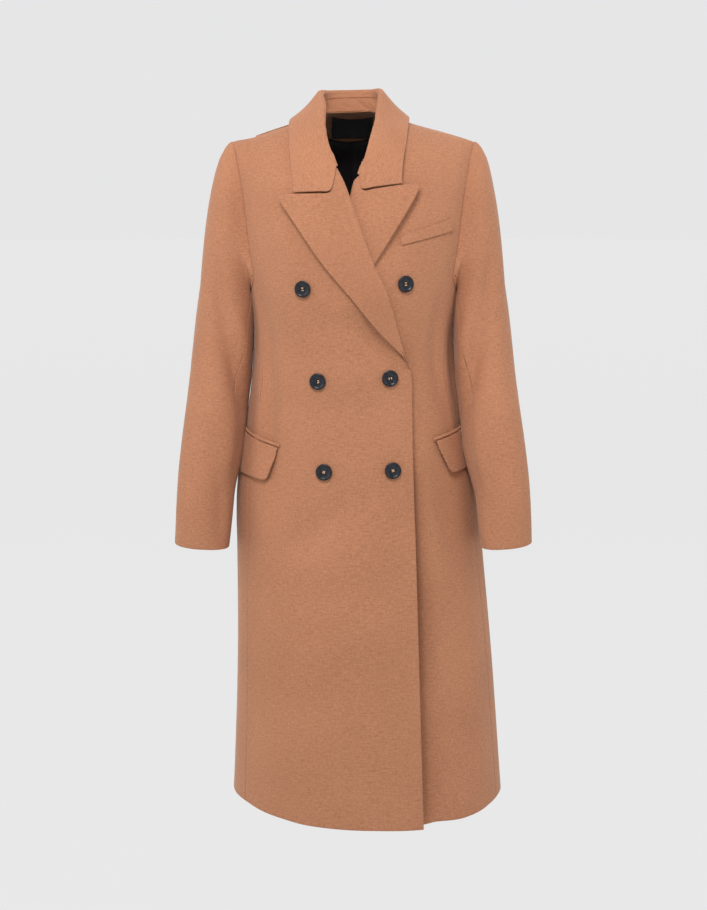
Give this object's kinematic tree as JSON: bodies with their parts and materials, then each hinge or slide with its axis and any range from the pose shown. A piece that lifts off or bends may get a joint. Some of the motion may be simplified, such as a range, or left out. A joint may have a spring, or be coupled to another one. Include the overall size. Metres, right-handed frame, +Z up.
{
  "type": "long coat",
  "caption": "Tailored double-breasted long wool coat with peak lapels, set-in sleeves and hip flaps, in worn form with open neck, cuffs and hem.",
  "frame": {"origin": "on the middle line at the height of the shoulders, where the wearer's shoulders carry the coat", "axes": "+Z up, the front of the coat faces -Y, the wearer's left is at +X"},
  "size_m": [0.546, 0.3255, 1.1266],
  "materials": {
    "coat_wool": "camel wool coating, fine twill with a short soft nap, matte",
    "lining_satin": "black satin lining, low sheen",
    "label_satin": "black woven satin label, bare, no lettering",
    "button_horn": "dark navy-black marbled horn imitation, soft gloss"
  },
  "bodies": {
    "root": {"front_right": "coat_wool", "front_left": "coat_wool", "side_right": "coat_wool", "side_left": "coat_wool", "back_right": "coat_wool", "back_left": "coat_wool", "sleeve_top_right": "coat_wool", "sleeve_under_right": "coat_wool", "sleeve_top_left": "coat_wool", "sleeve_under_left": "coat_wool", "lapel_right": "coat_wool", "lapel_left": "coat_wool", "collar_fall": "coat_wool", "collar_stand": "coat_wool", "back_neck_facing": "coat_wool", "flap_right": "coat_wool", "flap_left": "coat_wool", "jet_right": "coat_wool", "jet_left": "coat_wool", "welt_breast": "coat_wool", "back_lining": "lining_satin", "neck_label": "label_satin", "button_top_right": "button_horn", "button_top_left": "button_horn", "button_middle_right": "button_horn", "button_middle_left": "button_horn", "button_bottom_right": "button_horn", "button_bottom_left": "button_horn"}
  },
  "joints": []
}
